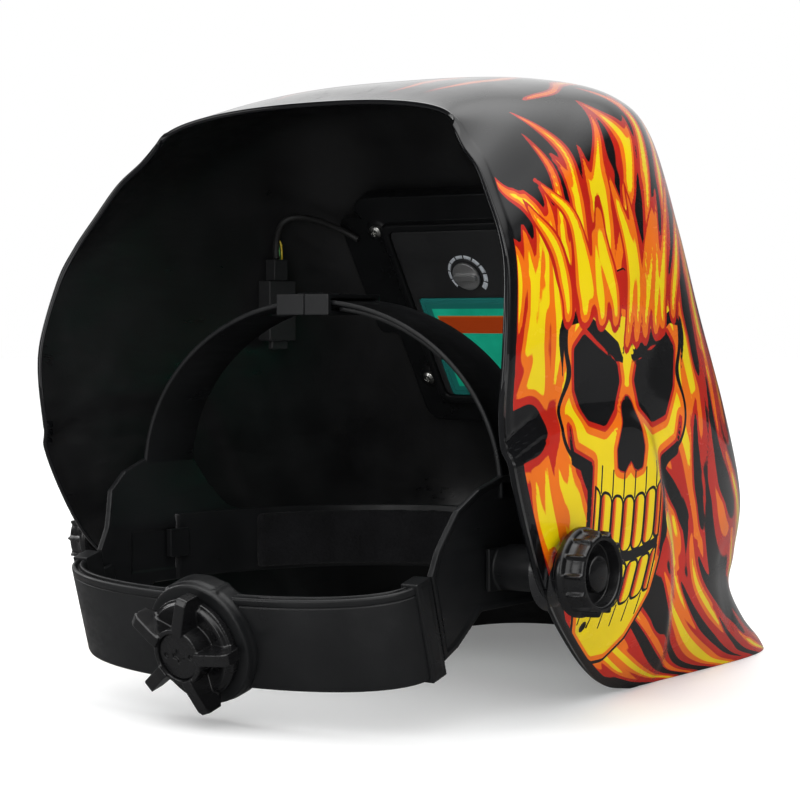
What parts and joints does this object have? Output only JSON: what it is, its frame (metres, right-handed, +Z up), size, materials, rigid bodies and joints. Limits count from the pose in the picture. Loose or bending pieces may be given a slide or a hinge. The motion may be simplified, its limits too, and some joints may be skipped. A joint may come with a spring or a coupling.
{
  "type": "welding helmet",
  "caption": "Welding helmet: deep tilting face shell with a flame graphic, auto-darkening filter window, and a ratchet-adjusted headgear with crown strap.",
  "frame": {"origin": "middle of the tilt axis, between the two side knobs", "axes": "+Z up, the wearer faces -Y, +X is the wearer's left"},
  "size_m": [0.264, 0.3544, 0.259],
  "materials": {
    "shell_gloss": "high-gloss black nylon with flame graphics outside, satin black inside",
    "black_plastic": "satin black moulded nylon",
    "knob_plastic": "satin black moulded plastic",
    "grey_plastic": "grey moulded plastic",
    "filter_plastic": "fine matte black plastic",
    "foam": "black foam with knitted cover",
    "clear_lens": "clear polycarbonate",
    "filter_glass": "coated blue-green glass",
    "film": "green-tinted protective film",
    "solar": "dark blue solar cells under clear resin",
    "board": "green circuit board",
    "steel": "bright zinc-plated steel",
    "cable_rubber": "black cable sheath"
  },
  "bodies": {
    "headgear": {"headband": "black_plastic", "sweatband": "foam", "strap_buckle": "black_plastic", "strap_overlap": "black_plastic", "pivot_bolt_left": "black_plastic", "pivot_bolt_right": "black_plastic", "pivot_spacer_left": "black_plastic", "pivot_spacer_right": "black_plastic"},
    "rear_band": {"rear_band": "black_plastic", "ratchet_cover": "black_plastic"},
    "ratchet_knob": {"ratchet_knob": "knob_plastic", "pinion": "grey_plastic", "knob_screw": "knob_plastic"},
    "rack_left": {"rack_left": "black_plastic"},
    "rack_right": {"rack_right": "black_plastic"},
    "shell": {"shell": "shell_gloss", "front_cover_lens": "clear_lens", "lens_holder": "black_plastic", "holder_screws": "steel", "filter_case": "filter_plastic", "filter_bezel": "filter_plastic", "uv_ir_glass": "filter_glass", "lcd_cell": "filter_glass", "rear_glass": "filter_glass", "solar_cell": "solar", "circuit_board": "board", "coin_cells": "steel", "light_sensors": "solar", "dial_trimmer": "filter_plastic", "inner_cover_lens": "clear_lens", "protective_film": "film", "shade_control_box": "filter_plastic", "shade_control_nut": "steel", "control_cable": "cable_rubber", "cable_plug": "filter_plastic", "shell_washer_left": "grey_plastic", "shell_washer_right": "grey_plastic"},
    "shade_knob": {"shade_knob": "knob_plastic"},
    "sensitivity_dial": {"sensitivity_dial": "grey_plastic"},
    "tension_knob_left": {"tension_knob_left": "knob_plastic"},
    "tension_knob_right": {"tension_knob_right": "knob_plastic"}
  },
  "joints": [
    {"name": "shell_tilt", "type": "hinge", "parent": "headgear", "child": "shell", "pos_m": [0, 0, 0], "axis": [-1, 0, 0], "range_deg": [-45, 50]},
    {"name": "tension_left", "type": "hinge", "parent": "headgear", "child": "tension_knob_left", "pos_m": [0.125, 0, 0], "axis": [1, 0, 0], "range_deg": [-45, 360]},
    {"name": "tension_right", "type": "hinge", "parent": "headgear", "child": "tension_knob_right", "pos_m": [-0.125, 0, 0], "axis": [-1, 0, 0], "range_deg": [-45, 360]},
    {"name": "head_size", "type": "slide", "parent": "headgear", "child": "rear_band", "axis": [0, 0.9613, -0.2756], "range_m": [-0.002, 0.005]},
    {"name": "ratchet_turn", "type": "hinge", "parent": "rear_band", "child": "ratchet_knob", "pos_m": [0, 0.07784, -0.02797], "axis": [0, 0.9613, -0.2756], "range_deg": [-60, 150]},
    {"name": "rack_left_slide", "type": "slide", "parent": "rear_band", "child": "rack_left", "axis": [1, 0, 0], "range_m": [-0.0062, 0.0152]},
    {"name": "rack_right_slide", "type": "slide", "parent": "rear_band", "child": "rack_right", "axis": [-1, 0, 0], "range_m": [-0.0062, 0.0152]},
    {"name": "shade_turn", "type": "hinge", "parent": "shell", "child": "shade_knob", "pos_m": [0.1112, -0.096, 0.1], "axis": [0.9816, -0.1908, 0], "range_deg": [-135, 135]},
    {"name": "sensitivity_turn", "type": "hinge", "parent": "shell", "child": "sensitivity_dial", "pos_m": [0.019, -0.12925, 0.11631], "axis": [0, 0.848, -0.5299], "range_deg": [-135, 135]}
  ],
  "couplings": [
    {"joint": "ratchet_turn", "follows": "head_size", "rad_per_m": 500},
    {"joint": "rack_left_slide", "follows": "head_size", "ratio": 3},
    {"joint": "rack_right_slide", "follows": "head_size", "ratio": 3}
  ]
}
